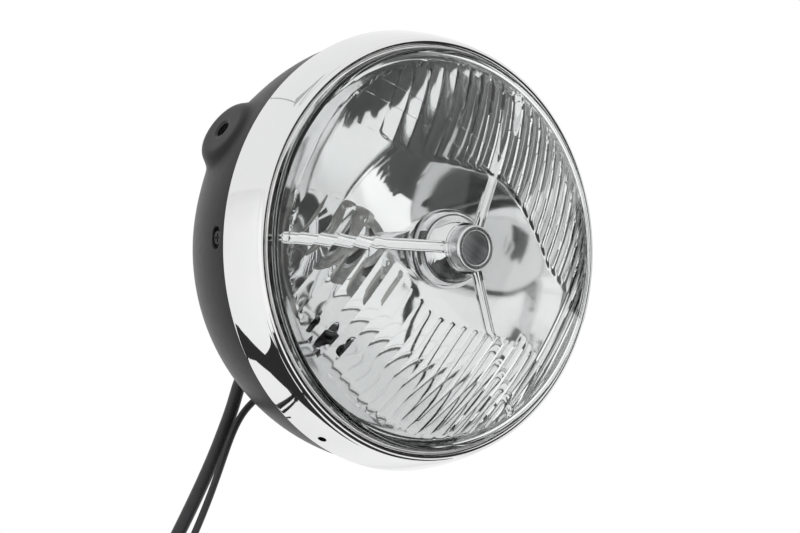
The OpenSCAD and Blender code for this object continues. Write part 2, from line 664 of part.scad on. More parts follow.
module pilot_bulb() {
    r = pilot_bulb_r - 0.8;
    color([0.9, 0.92, 0.95, 0.5]) forward() at_pilot() rotate_extrude() polygon(concat([[0, -6], [r, -6]],
        arc([0, pilot_bulb_len - 6 - r], r, 0, 90, 8)));
}

module pilot_lead() {
    y = -pilot_s - mount_setback + 12 * cos(pilot_tilt);
    z = -pilot_r - 12 * sin(pilot_tilt);
    end = exit_place(lead_exit, -3.4);
    color([0.12, 0.12, 0.13]) cord([[0, y - 0.4, z + 0.2], [0.2, y + 3, z - 1.4], [1.4, y + 8, z - 3],
        [3.4, (y + end[1]) / 2, z - 3.6], [5.6, end[1] - 9, z - 2.6],
        [7.4, end[1] - 4, (z + end[2]) / 2 + 1], end], pilot_cord_d - 2 * fit, 8);
}

module earth_screw() {
    a = 130;
    s = shell_s - 20;
    r = bowl_r(s, shell_wall) - 0.55;
    color([0.65, 0.62, 0.5]) forward() rotate([0, 0, a]) translate([r, 0, s]) rotate([0, -90, 0]) {
        cylinder(r = 4.4, h = 1);
        cylinder(r = 3.4, h = 3.4, $fn = 6);
    }
}

// A rubber grommet in the shell's hole, with a tapered neck outside
module grommet(exit, hole_r, cord_r, proud) {
    color([0.07, 0.07, 0.07]) on_bowl(exit) rotate_extrude() polygon([[cord_r, -3.2],
        [hole_r + grommet_lip, -3.2], [hole_r + grommet_lip, -shell_wall - 0.6],
        [hole_r - fit, -shell_wall - 0.6], [hole_r - fit, 0.4],
        [hole_r + grommet_lip, 0.4], [hole_r + grommet_lip, 1.6], [cord_r + 1.2, proud], [cord_r, proud]]);
}

module cord_grommet() {
    grommet(main_exit, main_grommet_r, main_cord_d / 2 + fit, grommet_proud);
}

module lead_grommet() {
    grommet(lead_exit, lead_grommet_r, pilot_cord_d / 2 + fit, lead_grommet_proud);
}

module main_cord() {
    color([0.06, 0.06, 0.065]) cord(main_path(), main_cord_d, main_cord_sides);
}

module pilot_cord() {
    color([0.08, 0.08, 0.085]) cord(pilot_path(), pilot_cord_d, pilot_cord_sides);
}

module main_connector() {
    path = main_path();
    end = path[len(path) - 1];
    color([0.13, 0.13, 0.14]) translate(end) {
        difference() {
            translate([-main_plug[0] / 2, -main_plug[1] / 2, -main_plug[2]]) cube(main_plug);
            for (x = [-5, 5], y = [-3.2, 3.2])
                translate([x - 3, y - 1.8, -main_plug[2] - eps]) cube([6, 3.6, 12]);
        }
        translate([0, main_plug[1] / 2 - fit, -12]) rotate([-90, 0, 0])
            linear_extrude(1.8) square([8, 10], center = true);
    }
}

module pilot_connector() {
    path = pilot_path();
    end = path[len(path) - 1];
    color([0.1, 0.1, 0.1]) translate(end) rotate([180, 0, 0]) difference() {
        rotate_extrude() polygon([[0, 0], [pilot_cord_d / 2 + 0.8, 0], [pilot_plug_r, 3],
            [pilot_plug_r, pilot_plug_len], [0, pilot_plug_len]]);
        translate([0, 0, pilot_plug_len - 9]) cylinder(r = 2, h = 10);
    }
}

shell();
left_mount_insert();
right_mount_insert();
rim();
left_rim_tab();
right_rim_tab();
top_rim_hook();
rim_screws();
lens();
lens_gasket();
clip_ring();
spring_clips();
reflector();
tri_bar();
bulb_shield();
medallion_bezel();
medallion_disc();
bulb_glass();
bulb_cap();
bulb_terminals();
bulb_retainer();
bulb_boot();
bulb_connector();
connector_leads();
pilot_holder();
pilot_bulb();
pilot_lead();
earth_screw();
cord_grommet();
lead_grommet();
main_cord();
pilot_cord();
main_connector();
pilot_connector();
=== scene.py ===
import json
import math

import bmesh
import bpy
import numpy as np
from bpy.props import FloatProperty, FloatVectorProperty, PointerProperty
from mathutils import Matrix, Vector


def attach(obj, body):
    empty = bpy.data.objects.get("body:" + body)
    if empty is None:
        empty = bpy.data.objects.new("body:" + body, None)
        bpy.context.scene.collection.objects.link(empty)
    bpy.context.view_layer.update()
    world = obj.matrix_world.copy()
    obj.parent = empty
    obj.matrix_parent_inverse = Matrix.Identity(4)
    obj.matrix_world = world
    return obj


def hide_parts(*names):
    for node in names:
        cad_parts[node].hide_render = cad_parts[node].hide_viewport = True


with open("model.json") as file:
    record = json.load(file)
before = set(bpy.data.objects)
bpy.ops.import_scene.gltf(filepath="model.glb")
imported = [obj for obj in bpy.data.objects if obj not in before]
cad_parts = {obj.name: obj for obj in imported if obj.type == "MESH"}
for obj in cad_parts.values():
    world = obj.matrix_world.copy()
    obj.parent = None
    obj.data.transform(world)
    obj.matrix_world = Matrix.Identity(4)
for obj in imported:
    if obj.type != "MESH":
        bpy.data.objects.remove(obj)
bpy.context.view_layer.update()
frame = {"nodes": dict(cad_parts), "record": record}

bl_info = {
    "name": "Round Headlight",
    "version": (1, 0, 0),
    "blender": (4, 5, 0),
    "location": "3D View > Sidebar > Headlight",
    "description": "Builds the finished look of a round motorcycle headlight around its solid model",
    "category": "Object",
}

NODES = frame["nodes"]
MM = 0.001

# Sizes that the solid model fixes, in millimetres. A station is a distance in front of the rim's front.
SETBACK = 45.5
SHELL_R, SHELL_DEPTH, SHELL_WALL, SHELL_FULL, SHELL_STATION = 94.1, 86.97, 1.4, 2.11, -20.2
COLLAR_R, COLLAR_FRONT = 93.3, -16.4
RECESS_STATION, RECESS_DEPTH = -28.0, 2.4
SCREW_ANGLES, SCREW_HOLE_R = (210, 330), 2.15
INSERT_HOLE_R, MAIN_HOLE_R, LEAD_HOLE_R = 5.05, 5.6, 3.6
RIM_OPENING, LIP_BEAD, RIM_REAR, RIM_DEPTH, RIM_WALL = 87.0, 1.95, 95.84, 19.5, 0.9
RIM_HEM, RIM_HOLE_R, RIM_HOLE_BACK, NOTCH_ANGLE = 1.8, 1.9, 13, 260
DOME_R, DOME_TOP, GLASS_WALL = 142.96, 31.5, 3.5
LENS_BACK, LENS_R, LENS_SKIRT, FLUTED_R = -8.4, 89.0, 86.3, 79.0
REFLECTOR_R, FOCAL_LEN, BULB_NECK_R, PILOT_HOLE_R = 80.0, 29.0, 20.2, 6.5

# Rows of flutes: low edge, high edge, how far a panel bulges and how far the row leans, in millimetres
FLUTE_ROWS = [
    (63, 90, 0.62, 0.5), (41.4, 63, 0.6, 0.5), (32, 41.4, 0.6, 0.35), (17, 32, 0.58, 0.4),
    (-16, 17, 0.55, 0.001), (-42.4, -16, 0.5, -0.35), (-62, -42.4, 0.45, -0.4), (-90, -62, 0.42, -0.4)]

# The tri-bar's hub and straight legs: the hub's back, front and radius, the legs' fall and where they end
HUB_BACK, HUB_FRONT, HUB_R, LEG_FALL, FOOT_R = 18.3, 19.1, 10.95, 17.6, 80.4
LEG_ANGLES = (90, 210, 330)

# The cords' exits on the bowl, how far they stand proud there, their diameters and their routes, as in the
# part's source, in millimetres
MAIN_EXIT, LEAD_EXIT = (-0.5, -90.47), (9, -84.99)
MAIN_PROUD, LEAD_PROUD, MAIN_D, LEAD_D = 4, 3, 6.2, 3.2
MAIN_ROUTE = [
    (0, 0, 0), (0, 0.9, -0.6), (0.1, 2.1, -1.8), (0.6, 3.8, -4.2), (1.4, 5, -7.2), (2.3, 5.6, -10.8),
    (3.2, 5.5, -15), (3.9, 4.8, -20), (4.4, 3.8, -26), (4.7, 2.6, -33), (5, 1.1, -42), (5.2, -0.5, -54),
    (5.3, -1.8, -68), (5.4, -2.6, -84), (5.4, -3, -102), (5.4, -3.1, -122), (5.4, -3.1, -144),
    (5.4, -3.1, -168), (5.4, -3.1, -193), (5.4, -3.1, -218)]
PILOT_ROUTE = [
    (0, 0, 0), (0.1, 0.9, -0.8), (0.1, 2.1, -2), (-0.3, 3.8, -4.8), (-1.2, 5, -8.6), (-2.4, 5.4, -13.4),
    (-3.3, 5, -18.8), (-3.7, 4.1, -24.6), (-3.7, 2.9, -31), (-3.3, 1.5, -38.6), (-2.6, 0, -48),
    (-1.6, -1.3, -60), (-0.6, -2.2, -74.5), (0.1, -2.8, -91), (0.6, -3.2, -109), (0.8, -3.4, -129),
    (0.8, -3.4, -150), (0.8, -3.4, -171)]

# The photograph's camera: its place in metres and its right, up and back directions
CAMERA_PLACE = (-0.4555, -0.7516, -0.3165)
CAMERA_RIGHT = (0.6729, -0.6035, 0.4279)
CAMERA_UP = (-0.5452, -0.0136, 0.8382)
CAMERA_BACK = (-0.5, -0.7973, -0.3382)


# Shapes

def on_axis(r, angle, station):
    """A point at radius r and an angle around the lamp's axis, in metres. Every argument may be an array."""
    r, angle, station = np.broadcast_arrays(r, angle, station)
    return np.stack([r * np.cos(angle), -station - SETBACK, r * np.sin(angle)], -1) * MM


def arc(centre, r, start, end, steps):
    """Points on an arc between two angles in degrees."""
    turn = np.radians(np.linspace(start, end, steps + 1))
    return [(centre[0] + r * math.cos(a), centre[1] + r * math.sin(a)) for a in turn]


def smooth_route(points, steps):
    """A smooth curve through the points, with some steps between each two."""
    p = np.array(points, float)
    out = []
    for i in range(len(p) - 1):
        a, b, c, d = p[max(i - 1, 0)], p[i], p[i + 1], p[min(i + 2, len(p) - 1)]
        for k in range(steps):
            t = k / steps
            out.append(0.5 * (2 * b + (c - a) * t + (2 * a - 5 * b + 4 * c - d) * t * t
                              + (3 * b - a - 3 * c + d) * t ** 3))
    out.append(p[-1])
    return np.array(out)


def add_object(name, verts, faces, material, node=None, angle=35):
    """Makes a mesh piece that rides on the lamp and, where a node is named, stands for that node."""
    mesh = bpy.data.meshes.new(name)
    mesh.from_pydata([tuple(v) for v in np.asarray(verts).reshape(-1, 3)], [], [tuple(f) for f in faces])
    mesh.validate()
    mesh.materials.append(material)
    obj = bpy.data.objects.new(name, mesh)
    bpy.context.scene.collection.objects.link(obj)
    finish_mesh(obj, angle)
    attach(obj, "root")
    if node:
        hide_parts(node)
    return obj


def finish_mesh(obj, angle=35):
    """Turns the faces outward and sets which edges look sharp."""
    bm = bmesh.new()
    bm.from_mesh(obj.data)
    bmesh.ops.remove_doubles(bm, verts=bm.verts, dist=1e-7)
    bmesh.ops.recalc_face_normals(bm, faces=bm.faces)
    limit = math.radians(angle)
    for face in bm.faces:
        face.smooth = True
    for edge in bm.edges:
        edge.smooth = len(edge.link_faces) != 2 or edge.calc_face_angle(0) < limit
    bm.to_mesh(obj.data)
    bm.free()


def grid_faces(rows, columns, closed_rows=True, closed_columns=True, first=0):
    """Quads between the points of a grid, which may close on itself in either direction."""
    i = np.arange(rows if closed_rows else rows - 1)[:, None]
    j = np.arange(columns if closed_columns else columns - 1)[None, :]
    a = i * columns + j
    b = i * columns + (j + 1) % columns
    c = ((i + 1) % rows) * columns + (j + 1) % columns
    d = ((i + 1) % rows) * columns + j
    return (np.stack([a, b, c, d], -1).reshape(-1, 4) + first).tolist()


def revolve(profile, steps=256):
    """Verts and faces of a profile turned around the lamp's axis. Its ends may lie on the axis."""
    turn = np.linspace(0, 2 * math.pi, steps, endpoint=False)
    p = np.array(profile, float)
    verts = on_axis(p[:, 0][:, None], turn[None, :], p[:, 1][:, None]).reshape(-1, 3)
    return verts, grid_faces(len(p), steps)


def turned_piece(name, profile, material, node=None, steps=256, angle=35):
    """A closed profile turned around the lamp's axis as one piece."""
    verts, faces = revolve(profile, steps)
    return add_object(name, verts, faces, material, node, angle=angle)


def cut(obj, cutters, angle=35):
    """Cuts closed shapes, given as verts and faces, out of a piece."""
    mesh = bpy.data.meshes.new("cutter")
    verts, faces = [], []
    for v, f in cutters:
        faces += [[k + len(verts) for k in q] for q in f]
        verts += [tuple(p) for p in v]
    mesh.from_pydata(verts, [], faces)
    tool = bpy.data.objects.new("cutter", mesh)
    bpy.context.scene.collection.objects.link(tool)
    finish_mesh(tool)
    change = obj.modifiers.new("cut", "BOOLEAN")
    change.operation = "DIFFERENCE"
    change.solver = "EXACT"
    change.object = tool
    apply_modifiers(obj)
    bpy.data.objects.remove(tool)
    finish_mesh(obj, angle=angle)


def apply_modifiers(obj):
    """Makes the modifiers' result the piece's own mesh."""
    bpy.context.view_layer.update()
    graph = bpy.context.evaluated_depsgraph_get()
    mesh = bpy.data.meshes.new_from_object(obj.evaluated_get(graph))
    obj.modifiers.clear()
    old = obj.data
    obj.data = mesh
    bpy.data.meshes.remove(old)


def rod_shape(start, end, r, steps=48):
    """A closed cylinder between two points, in millimetres."""
    a, b = Vector(start), Vector(end)
    spin = (b - a).to_track_quat("Z", "Y").to_matrix()
    verts = []
    for middle in (a, b):
        for k in range(steps):
            t = 2 * math.pi * k / steps
            verts.append(tuple((middle + spin @ Vector((r * math.cos(t), r * math.sin(t), 0))) * MM))
    faces = [[k, (k + 1) % steps, steps + (k + 1) % steps, steps + k] for k in range(steps)]
    return verts, faces + [list(range(steps))[::-1], list(range(steps, 2 * steps))]


def rim_radius(station):
    """The rim's outer radius behind its lip."""
    u = np.clip((-LIP_BEAD - station) / (RIM_DEPTH - LIP_BEAD), 0, 1)
    front = RIM_OPENING + 2 * LIP_BEAD
    return front + (RIM_REAR - front) * (1 - (1 - u) ** 1.25) ** (1 / 1.25)


def dish_station(r):
    """The reflector's face, a parabola."""
    return LENS_BACK - REFLECTOR_R ** 2 / (4 * FOCAL_LEN) + np.asarray(r) ** 2 / (4 * FOCAL_LEN)


def bowl_radius(station, inset=0.0):
    """The radius of the bowl without its bosses."""
    v = np.clip((SHELL_STATION - station) / (SHELL_DEPTH - inset), 0, 1)
    return (SHELL_R - inset) * (1 - v ** SHELL_FULL) ** (1 / SHELL_FULL)


# Materials

def make_material(name, **sockets):
    """A material with a Principled shader, whose plain values are set on its own sockets."""
    material = bpy.data.materials.new(name)
    material.use_nodes = True
    shader = material.node_tree.nodes["Principled BSDF"]
    for key, value in sockets.items():
        shader.inputs[key.replace("_", " ")].default_value = value
    return material, shader


def add_node(material, kind, **inputs):
    """A node of the material, with some of its inputs set."""
    node = material.node_tree.nodes.new(kind)
    for key, value in inputs.items():
        node.inputs[key].default_value = value
    return node


def surface_noise(material, scale, detail=3.0, roughness=0.55, stretch=(1, 1, 1)):
    """Noise in the piece's own space, stretched where a stretch is given."""
    links = material.node_tree.links
    place = add_node(material, "ShaderNodeTexCoord")
    mapping = add_node(material, "ShaderNodeMapping")
    mapping.inputs["Scale"].default_value = stretch
    noise = add_node(material, "ShaderNodeTexNoise", Scale=scale, Detail=detail, Roughness=roughness)
    links.new(place.outputs["Object"], mapping.inputs["Vector"])
    links.new(mapping.outputs["Vector"], noise.inputs["Vector"])
    return noise.outputs["Fac"]


def between(material, value, low, high):
    """The value, which runs from 0 to 1, moved to run from low to high."""
    node = add_node(material, "ShaderNodeMapRange")
    node.inputs["To Min"].default_value = low
    node.inputs["To Max"].default_value = high
    material.node_tree.links.new(value, node.inputs["Value"])
    return node.outputs["Result"]


def two_colours(material, value, first, second, low=0.35, high=0.65):
    """A colour that runs from the first to the second as the value passes from low to high."""
    node = add_node(material, "ShaderNodeValToRGB")
    node.color_ramp.elements[0].position = low
    node.color_ramp.elements[1].position = high
    node.color_ramp.elements[0].color = (*first, 1)
    node.color_ramp.elements[1].color = (*second, 1)
    material.node_tree.links.new(value, node.inputs["Fac"])
    return node.outputs["Color"]


def bump(material, shader, height, distance, strength=1.0):
    node = add_node(material, "ShaderNodeBump", Strength=strength, Distance=distance)
    links = material.node_tree.links
    links.new(height, node.inputs["Height"])
    links.new(node.outputs["Normal"], shader.inputs["Normal"])


def link(material, output, shader, name):
    material.node_tree.links.new(output, shader.inputs[name])


def scaled(colour, share):
    """A colour times a share."""
    return tuple(share * c for c in colour)


def chrome(name, grey, rough, wave):
    """Polished plate: a faint haze and the slight waves of sheet metal."""
    material, shader = make_material(name, Metallic=1.0)
    haze = surface_noise(material, 35, 4, 0.6)
    tone = two_colours(material, haze, (grey, grey * 1.005, grey * 1.01), (grey * 1.03,) * 3)
    link(material, tone, shader, "Base Color")
    smears = surface_noise(material, 60, 5)
    link(material, between(material, smears, rough * 0.6, rough * 1.5), shader, "Roughness")
    bump(material, shader, surface_noise(material, 18, 1), wave)
    return material


def satin_paint(name, colour):
    """Satin black paint with a fine orange peel."""
    material, shader = make_material(name, Specular_IOR_Level=0.22)
    tone = two_colours(material, surface_noise(material, 14, 3), scaled(colour, 0.9), scaled(colour, 1.12))
    link(material, tone, shader, "Base Color")
    link(material, between(material, surface_noise(material, 300, 2), 0.34, 0.44), shader, "Roughness")
    bump(material, shader, surface_noise(material, 900, 2), 0.00002)
    return material


def clear_glass(name, tint, rough, wave=0.0, glare=1.0):
    """Pressed glass: clear, with the faint ripple of the mould."""
    material, shader = make_material(name, Transmission_Weight=1.0, IOR=1.51,
                                     Specular_Tint=(glare, glare, glare, 1))
    ripple = surface_noise(material, 22, 1)
    tone = two_colours(material, ripple, tint, tuple(min(1, c) for c in scaled(tint, 1.01)))
    link(material, tone, shader, "Base Color")
    haze = surface_noise(material, 120, 3)
    link(material, between(material, haze, rough * 0.5, rough * 1.5), shader, "Roughness")
    if wave:
        bump(material, shader, ripple, wave)
    return material


def plain_metal(name, first, second, low, high, stretch=(1, 1, 1)):
    """Plated or machined metal with small blotches and fine lines."""
    material, shader = make_material(name, Metallic=1.0)
    link(material, two_colours(material, surface_noise(material, 90, 4), first, second), shader, "Base Color")
    lines = surface_noise(material, 700, 3, 0.6, stretch)
    link(material, between(material, lines, low, high), shader, "Roughness")
    bump(material, shader, lines, 0.00002)
    return material


def brushed_disc(name, colour):
    """Dark metal brushed along one direction, with a soft sheen across it."""
    material, shader = make_material(name, Metallic=1.0)
    lines = surface_noise(material, 260, 4, 0.65, (0.04, 1, 1))
    tone = two_colours(material, lines, scaled(colour, 0.75), scaled(colour, 1.3))
    link(material, tone, shader, "Base Color")
    link(material, between(material, lines, 0.38, 0.52), shader, "Roughness")
    bump(material, shader, lines, 0.00003)
    return material


def soft_black(name, colour, low, high, scale, depth):
    """Rubber or moulded plastic: a fine grain with slight changes of tone."""
    material, shader = make_material(name, Specular_IOR_Level=0.4)
    tone = two_colours(material, surface_noise(material, 60, 4), scaled(colour, 0.85), scaled(colour, 1.2))
    link(material, tone, shader, "Base Color")
    grain = surface_noise(material, scale, 4)
    link(material, between(material, grain, low, high), shader, "Roughness")
    bump(material, shader, grain, depth)
    return material


MATERIALS = {}


def make_materials(finish):
    """Makes each finish once, under the name of the record's slot."""
    MATERIALS.update(
        shell_paint=satin_paint("Bowl satin paint", tuple(finish.paint)),
        rim_chrome=chrome("Rim chrome", finish.chrome, 0.03, 0.00004),
        satin_chrome=chrome("Satin chrome", 0.85, 0.26, 0.00001),
        mirror_coat=chrome("Reflector mirror coat", 0.8, 0.05, 0.0001),
        lens_glass=clear_glass("Lens glass", (0.965, 0.98, 0.975), 0.02, 0.00004, 0.4),
        bulb_glass=clear_glass("Bulb glass", (0.97, 0.98, 0.99), 0.01),
        dark_disc=brushed_disc("Medallion brushed metal", tuple(finish.disc)),
        plated_steel=plain_metal("Zinc plated steel", (0.5, 0.5, 0.5), (0.62, 0.61, 0.58), 0.25, 0.45),
        brass=plain_metal("Brass contact metal", (0.66, 0.5, 0.24), (0.75, 0.62, 0.35), 0.25, 0.4),
        black_rubber=soft_black("Black rubber", (0.02, 0.02, 0.02), 0.55, 0.75, 500, 0.00005),
        dark_steel=plain_metal("Black oxide steel", (0.035, 0.035, 0.036), (0.06, 0.06, 0.06), 0.3, 0.5),
        # pale_rubber's light grey is a painted highlight: it stands in for the bright band of light along the
        # glass's edge beside the rim's lip
        pale_rubber=soft_black("Silicone seal rubber, painted pale as highlight", (0.74, 0.74, 0.73), 0.4, 0.55, 400, 0.00003),
        black_plastic=soft_black("Black sleeve plastic", (0.022, 0.022, 0.024), 0.35, 0.55, 350, 0.00003),
        lead_plastic=soft_black("Red lead plastic", (0.3, 0.03, 0.025), 0.3, 0.45, 350, 0.00002))


# Pieces

def bell(points):
    """The height of a side boss against the distance from its axis, smoothed."""
    line = smooth_route(points, 6)
    return lambda d: np.interp(d, line[:, 0], line[:, 1])


# A side boss: distances from its axis, each with how far the boss stands from the lamp's middle there
BOSS_PROFILE = [
    (0, 94), (6, 94), (10.6, 94), (12, 93.85), (13.2, 93.3), (14.3, 92.3), (15.1, 91), (15.8, 89.3),
    (16.8, 86.8), (18.4, 83.2), (20.8, 79.4), (24, 75.4), (29, 69), (34, 62), (38, 52), (41, 30), (42, -10)]
BOSS_REACH = BOSS_PROFILE[-1][0]


def boss_radius(turn, station, inset):
    """Where a line from the lamp's axis meets a side boss."""
    height = bell([(max(d - 0.6 * inset, 0), x - inset) for d, x in BOSS_PROFILE])
    low, high = np.full(turn.shape, 20.0), np.full(turn.shape, 130.0)
    for _ in range(34):
        mid = (low + high) / 2
        d = np.hypot(station + SETBACK, mid * np.sin(turn))
        inside = np.abs(mid * np.cos(turn)) < height(d)
        low, high = np.where(inside, mid, low), np.where(inside, high, mid)
    return (low + high) / 2


def shell_surface(turn, along, inset, recesses):
    """Points of the shell's skin. along runs from 0 at its front to 1 at its rear."""
    station, bowl = along
    station, bowl = np.broadcast_arrays(station[:, None], turn[None, :])[0], bowl[:, None] + 0 * turn[None, :]
    angle = turn[None, :] + 0 * station
    boss = np.where(np.abs(station + SETBACK) < BOSS_REACH, boss_radius(angle, station, inset), -SHELL_R)
    soft = 3.2
    r = 0.5 * (bowl + boss + np.hypot(bowl - boss, soft)) - 0.5 * (np.hypot(20, soft) - 20)
    r = np.where(bowl - boss > 12, bowl, r)
    fade = np.clip((bowl - boss - 6) / 6, 0, 1)
    r = r * (1 - fade) + np.maximum(bowl, boss) * fade
    if recesses:
        for side in SCREW_ANGLES:
            across = (angle - math.radians(side)) * bowl
            d = np.hypot(np.maximum(np.abs(across) - 1.5, 0), station - RECESS_STATION) - 3
            edge = np.clip(0.5 - (d + 0.1) / 0.7, 0, 1)
            r = r - RECESS_DEPTH * edge * edge * (3 - 2 * edge)
    return on_axis(r, angle, station)


def dense_line(start, end, coarse, spots):
    """Values from start to end, closer together at the spots (middle, reach, step)."""
    out = [start]
    while out[-1] < end - 1e-9:
        step = min([coarse] + [s for m, reach, s in spots if abs(out[-1] + 0.5 * s - m) < reach])
        out.append(out[-1] + step)
    out[-1] = end
    return np.array(out)


def build_shell(values):
    """The painted bowl with its side bosses, screw recesses, collar and holes."""
    fine = [(side, 18, 0.6) for side in (0, 180, 360)] + [(side, 4.6, 0.25) for side in SCREW_ANGLES]
    turn = np.radians(dense_line(0, 360, 2.0, fine)[:-1])
    depth = dense_line(0.3, 52, 1.4, [(25, 22, 0.7), (-RECESS_STATION + SHELL_STATION, 4.4, 0.3)])
    last = math.asin((depth[-1] / SHELL_DEPTH) ** (SHELL_FULL / 2))
    power = 2 / SHELL_FULL
    rear = np.linspace(last, math.pi / 2, 26)[1:-1]
    walls = []
    for inset in (0.0, SHELL_WALL):
        front = SHELL_STATION - depth
        station = np.concatenate([front, SHELL_STATION - (SHELL_DEPTH - inset) * np.sin(rear) ** power])
        r = np.concatenate([bowl_radius(front, inset), (SHELL_R - inset) * np.cos(rear) ** power])
        if inset:
            order = np.argsort(-station)
            station, r = station[order], r[order]
        walls.append(shell_surface(turn, (station, r), inset, recesses=not inset))
    outer, inner = walls
    tip_out = on_axis(0.05, turn, SHELL_STATION - SHELL_DEPTH)
    tip_in = on_axis(0.05, turn, SHELL_STATION - SHELL_DEPTH + SHELL_WALL)
    collar_in = COLLAR_R - SHELL_WALL
    collar = [on_axis(r, turn, s) for r, s in (
        (collar_in, SHELL_STATION - 0.6), (collar_in, COLLAR_FRONT + 0.15), (collar_in + 0.2, COLLAR_FRONT),
        (COLLAR_R - 0.2, COLLAR_FRONT), (COLLAR_R, COLLAR_FRONT - 0.2), (COLLAR_R, SHELL_STATION + 0.1),
        (SHELL_R - 0.5, SHELL_STATION), (SHELL_R - 0.12, SHELL_STATION - 0.1))]
    rows = np.stack(collar + list(outer) + [tip_out, tip_in] + list(inner)[::-1])
    obj = add_object("Lamp_Bowl", rows, grid_faces(len(rows), len(turn)), MATERIALS["shell_paint"],
                     "shell", angle=50)
    cutters = [rod_shape((side * 60, 0, 0), (side * 100, 0, 0), INSERT_HOLE_R) for side in (-1, 1)]
    for place, r in ((MAIN_EXIT, MAIN_HOLE_R), (LEAD_EXIT, LEAD_HOLE_R)):
        out = exit_direction(*place)
        p = exit_point(*place)
        cutters.append(rod_shape(p - 8 * out, p + 6 * out, r))
    for side in SCREW_ANGLES:
        a = math.radians(side)
        c = Vector((math.cos(a), 0, math.sin(a)))
        back = Vector((0, -RECESS_STATION - SETBACK, 0))
        cutters.append(rod_shape(back + 85 * c, back + 92.6 * c, SCREW_HOLE_R))
    cut(obj, cutters, angle=50)


def exit_point(x, station):
    """A cord's exit on the shell, in millimetres."""
    r = float(bowl_radius(station))
    return Vector((x, -station - SETBACK, -math.sqrt(r * r - x * x)))


def exit_direction(x, station):
    """The way straight out of the bowl at a cord's exit."""
    v = (SHELL_STATION - station) / SHELL_DEPTH
    r = float(bowl_radius(station))
    w = r / SHELL_R
    side, back = w ** (SHELL_FULL - 1) / SHELL_R, v ** (SHELL_FULL - 1) / SHELL_DEPTH
    return Vector((side * x / r, back, -side * math.sqrt(1 - (x / r) ** 2))).normalized()


def build_rim(values):
    """The chrome ring: a rolled lip, a bulging side and a folded rear edge, with a drain hole and a notch."""
    bead = (RIM_OPENING + LIP_BEAD, -LIP_BEAD)
    side = [(float(rim_radius(s)), s) for s in np.linspace(-LIP_BEAD, -RIM_DEPTH, 30)[1:]]
    hem_in = RIM_REAR - RIM_HEM
    outer = [(RIM_OPENING, -2.6)] + arc(bead, LIP_BEAD, 180, 0, 26) + side[:-1]
    hem = [(RIM_REAR, -RIM_DEPTH + 0.45), (RIM_REAR - 0.14, -RIM_DEPTH + 0.12), (RIM_REAR - 0.5, -RIM_DEPTH),
           (hem_in + 0.5, -RIM_DEPTH), (hem_in + 0.14, -RIM_DEPTH + 0.12), (hem_in, -RIM_DEPTH + 0.45),
           (hem_in, -RIM_DEPTH + 1.2)]
    inner = [(r - RIM_WALL, s) for r, s in side[::-1] if s > -RIM_DEPTH + 1.4]
    inner = [(float(rim_radius(-RIM_DEPTH + 1.2)) - RIM_WALL, -RIM_DEPTH + 1.2)] + inner
    roll_in = arc(bead, LIP_BEAD - RIM_WALL, 0, 180, 12)
    profile = outer + hem + inner + roll_in + [(RIM_OPENING + RIM_WALL, -2.6)]
    obj = turned_piece("Rim_Chrome_Ring", profile, MATERIALS["rim_chrome"], "rim", 288, 40)
    y = RIM_HOLE_BACK - SETBACK
    a = math.radians(NOTCH_ANGLE)
    mid = Vector((95.5 * math.cos(a), RIM_DEPTH - 1.5 - SETBACK, 95.5 * math.sin(a)))
    out, across = Vector((math.cos(a), 0, math.sin(a))), Vector((-math.sin(a), 0, math.cos(a)))
    box = [tuple((mid + i * 6 * out + j * 0.55 * across + Vector((0, k * 1.7, 0))) * MM)
           for i in (-1, 1) for j in (-1, 1) for k in (-1, 1)]
    sides = [[0, 1, 3, 2], [4, 6, 7, 5], [0, 4, 5, 1], [2, 3, 7, 6], [0, 2, 6, 4], [1, 5, 7, 3]]
    cut(obj, [rod_shape((0, y, -85), (0, y, -101), RIM_HOLE_R), (box, sides)], angle=40)


def flute_depth(x, z, pitch):
    """How far the glass's inner face stands in at a place of the front view, from its panels and prisms."""
    share = np.abs(x / pitch - np.round(x / pitch)) * 2
    out = np.zeros(np.broadcast(x, z).shape)
    for low, high, sag, tilt in FLUTE_ROWS:
        inside = (z >= low) & (z < high)
        rise = (z - low) / (high - low) if tilt > 0 else (high - z) / (high - low)
        out = np.where(inside, 0.15 + sag * (1 - (1 - share) ** 2) + abs(tilt) * rise, out)
    shift = np.abs(x + 2)
    upper = 32.5 - 16.5 * (shift / 44) ** 1.25
    lower = -34.5 + 13 * (shift / 42) ** 1.2
    almond = np.minimum(np.minimum(upper - z, z - lower), 46 - shift)
    band = np.minimum(np.minimum(17 - z, z + 16), np.minimum(x + 65, 61 - x))
    clear = np.clip(0.5 + np.maximum(almond, band) / 2.4, 0, 1)
    return out * (1 - clear) + 0.1 * clear


